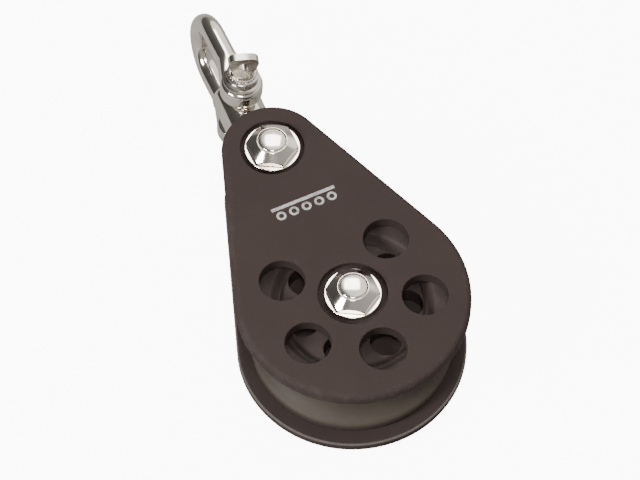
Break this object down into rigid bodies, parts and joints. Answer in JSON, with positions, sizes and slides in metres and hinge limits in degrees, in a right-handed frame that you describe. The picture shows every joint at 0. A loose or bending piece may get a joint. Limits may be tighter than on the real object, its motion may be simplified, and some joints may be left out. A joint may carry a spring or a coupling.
{
  "type": "single sheave block",
  "caption": "Single sheave rope block with drop-shaped pierced cheeks, a plain-bearing grooved sheave and a swivelling head with a screw-pin shackle.",
  "frame": {"origin": "middle of the underside, below the middle of the bounding box", "axes": "+Y from the sheave towards the shackle, +Z out of the front cheek along the sheave axle, +X across the cheeks"},
  "size_m": [0.082, 0.1822, 0.056],
  "materials": {
    "cheek": "moulded, fine matt grain",
    "sheave": "moulded and turned, satin",
    "bush": "sintered, dull",
    "stainless": "polished stainless steel",
    "stainless_satin": "satin stainless steel",
    "bearing_plastic": "moulded, dull"
  },
  "bodies": {
    "cheeks": {"front_cheek": "cheek", "rear_cheek": "cheek", "axle_sleeve": "stainless_satin", "thrust_washer_front": "bearing_plastic", "thrust_washer_rear": "bearing_plastic", "axle_bolt": "stainless", "axle_nut": "stainless", "axle_washer_front": "stainless", "axle_washer_rear": "stainless", "head_bolt": "stainless", "head_nut": "stainless", "head_washer_front": "stainless", "head_washer_rear": "stainless", "head_sleeve": "stainless_satin", "head_spacer_front": "bearing_plastic", "head_spacer_rear": "bearing_plastic"},
    "sheave": {"sheave": "sheave", "sheave_bush": "bush"},
    "head": {"head_carrier": "stainless_satin", "swivel_washer": "bearing_plastic"},
    "post": {"swivel_post": "stainless", "snap_ring": "stainless_satin"},
    "shackle": {"shackle_bow": "stainless"},
    "pin": {"shackle_pin": "stainless"}
  },
  "joints": [
    {"name": "sheave_spin", "type": "hinge", "parent": "cheeks", "child": "sheave", "pos_m": [0, -0.05007, 0.025], "axis": [0, 0, 1], "continuous": true},
    {"name": "head_swing", "type": "hinge", "parent": "cheeks", "child": "head", "pos_m": [0, 0.01633, 0.025], "axis": [0, 0, 1], "range_deg": [-90, 90]},
    {"name": "head_swivel", "type": "hinge", "parent": "head", "child": "post", "pos_m": [0, 0.01633, 0.025], "axis": [0.0523, 0.9986, 0], "continuous": true},
    {"name": "shackle_swing", "type": "hinge", "parent": "post", "child": "shackle", "pos_m": [0.00174, 0.04958, 0.025], "axis": [0.0784, -0.0041, 0.9969], "range_deg": [-100, 100]},
    {"name": "pin_draw", "type": "slide", "parent": "shackle", "child": "pin", "axis": [0.0784, -0.0041, 0.9969], "range_m": [0, 0.034]}
  ]
}
